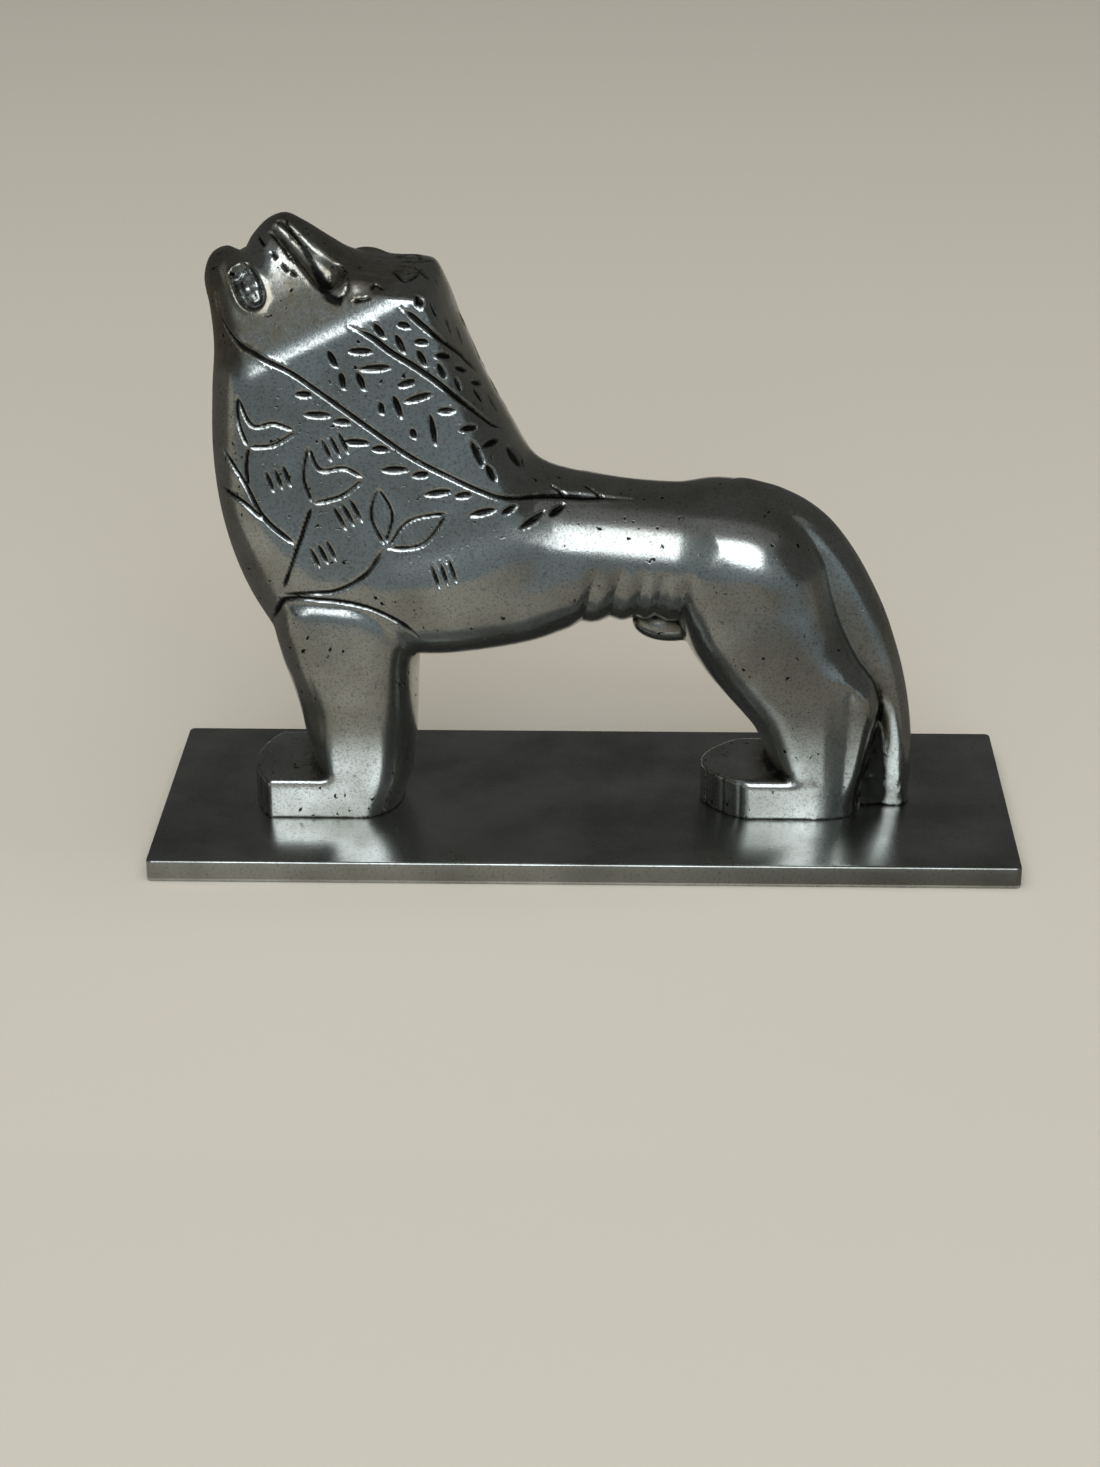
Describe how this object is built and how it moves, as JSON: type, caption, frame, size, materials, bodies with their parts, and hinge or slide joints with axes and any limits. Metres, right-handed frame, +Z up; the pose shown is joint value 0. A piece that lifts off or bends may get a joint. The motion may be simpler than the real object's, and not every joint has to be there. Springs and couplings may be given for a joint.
{
  "type": "lion figure",
  "caption": "Small cast pewter lion with its head thrown back and a chased mane, standing on a flat rectangular plate: a paperweight or shelf ornament.",
  "frame": {"origin": "the middle of the plate's underside", "axes": "+X along the plate from the lion's head to its tail, +Y across the plate to the lion's left, +Z up"},
  "size_m": [0.13, 0.052, 0.0951],
  "materials": {
    "plate_pewter": "polished pewter plate, dulled, with fine scratches",
    "cast_pewter": "polished cast pewter with dark patina in the chasing"
  },
  "bodies": {
    "root": {"base_plate": "plate_pewter", "lion": "cast_pewter"}
  },
  "joints": []
}
